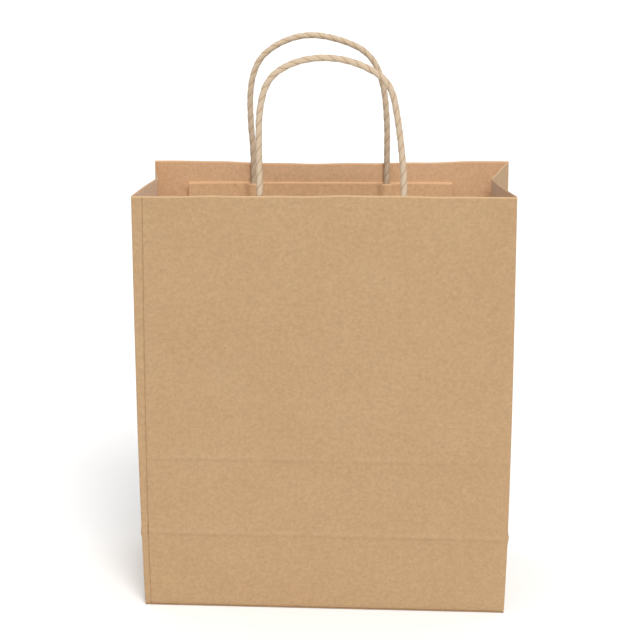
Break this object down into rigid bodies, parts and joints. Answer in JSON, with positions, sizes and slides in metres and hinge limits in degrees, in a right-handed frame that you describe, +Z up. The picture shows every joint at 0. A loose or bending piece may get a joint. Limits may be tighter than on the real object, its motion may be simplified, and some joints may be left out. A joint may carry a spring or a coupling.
{
  "type": "gift bag",
  "caption": "Brown kraft paper gift bag with gusseted sides, a square folded bottom and twisted-paper rope handles glued inside the mouth.",
  "frame": {"origin": "middle of the bottom, on the surface the bag stands on", "axes": "+Z up, -Y the front, +X to the right as seen from the front"},
  "size_m": [0.26, 0.115, 0.4013],
  "materials": {
    "kraft_paper": "uncoated brown kraft with fine fibres",
    "kraft_strip": "uncoated brown kraft strip, glued",
    "twisted_paper_rope": "twisted paper cord, pale brown, matt"
  },
  "bodies": {
    "base": {"bottom_outer_flap": "kraft_paper", "bottom_inner_flap": "kraft_paper", "left_bottom_flap": "kraft_paper", "right_bottom_flap": "kraft_paper", "front_lower_panel": "kraft_paper", "back_lower_panel": "kraft_paper", "left_lower_side": "kraft_paper", "right_lower_side": "kraft_paper", "lower_seam_tab": "kraft_paper"},
    "front_wall": {"front_panel": "kraft_paper", "seam_tab": "kraft_paper", "front_backing_strip": "kraft_strip", "front_cover_strip": "kraft_strip", "front_rope_ends": "twisted_paper_rope"},
    "back_wall": {"back_panel": "kraft_paper", "back_backing_strip": "kraft_strip", "back_cover_strip": "kraft_strip", "back_rope_ends": "twisted_paper_rope"},
    "left_front_fold": {"left_gusset_front": "kraft_paper"},
    "left_back_fold": {"left_gusset_back": "kraft_paper"},
    "right_front_fold": {"right_gusset_front": "kraft_paper"},
    "right_back_fold": {"right_gusset_back": "kraft_paper"},
    "front_handle": {"front_handle_loop": "twisted_paper_rope"},
    "back_handle": {"back_handle_loop": "twisted_paper_rope"}
  },
  "joints": [
    {"name": "mouth_close", "type": "hinge", "parent": "base", "child": "front_wall", "pos_m": [0, -0.0575, 0.0575], "axis": [-1, 0, 0], "range_deg": [0, 7]},
    {"name": "back_wall_lean", "type": "hinge", "parent": "base", "child": "back_wall", "pos_m": [0, 0.0575, 0.0575], "axis": [1, 0, 0], "range_deg": [0, 7.01]},
    {"name": "left_front_gusset_fold", "type": "hinge", "parent": "front_wall", "child": "left_front_fold", "pos_m": [-0.13, -0.0575, 0.0575], "axis": [0.586, 0.8088, 0.0495], "range_deg": [0, 11.97], "deforming": ["left_gusset_front"]},
    {"name": "left_back_gusset_fold", "type": "hinge", "parent": "back_wall", "child": "left_back_fold", "pos_m": [-0.13, 0.0575, 0.0575], "axis": [-0.586, 0.8088, -0.0495], "range_deg": [0, 11.97], "deforming": ["left_gusset_back"]},
    {"name": "right_front_gusset_fold", "type": "hinge", "parent": "front_wall", "child": "right_front_fold", "pos_m": [0.13, -0.0575, 0.0575], "axis": [0.6228, -0.7809, -0.0478], "range_deg": [0, 11.27], "deforming": ["right_gusset_front"]},
    {"name": "right_back_gusset_fold", "type": "hinge", "parent": "back_wall", "child": "right_back_fold", "pos_m": [0.13, 0.0575, 0.0575], "axis": [-0.6228, -0.7809, 0.0478], "range_deg": [0, 11.27], "deforming": ["right_gusset_back"]},
    {"name": "front_handle_tilt", "type": "hinge", "parent": "front_wall", "child": "front_handle", "pos_m": [0, -0.0547, 0.309], "axis": [1, 0, 0], "range_deg": [-25, 90]},
    {"name": "back_handle_tilt", "type": "hinge", "parent": "back_wall", "child": "back_handle", "pos_m": [0, 0.0547, 0.309], "axis": [-1, 0, 0], "range_deg": [-25, 90]}
  ],
  "couplings": [
    {"joint": "back_wall_lean", "follows": "mouth_close", "ratio": 1},
    {"joint": "left_front_gusset_fold", "follows": "mouth_close", "ratio": 1.7026},
    {"joint": "left_back_gusset_fold", "follows": "mouth_close", "ratio": 1.7026},
    {"joint": "right_front_gusset_fold", "follows": "mouth_close", "ratio": 1.6026},
    {"joint": "right_back_gusset_fold", "follows": "mouth_close", "ratio": 1.6026}
  ]
}
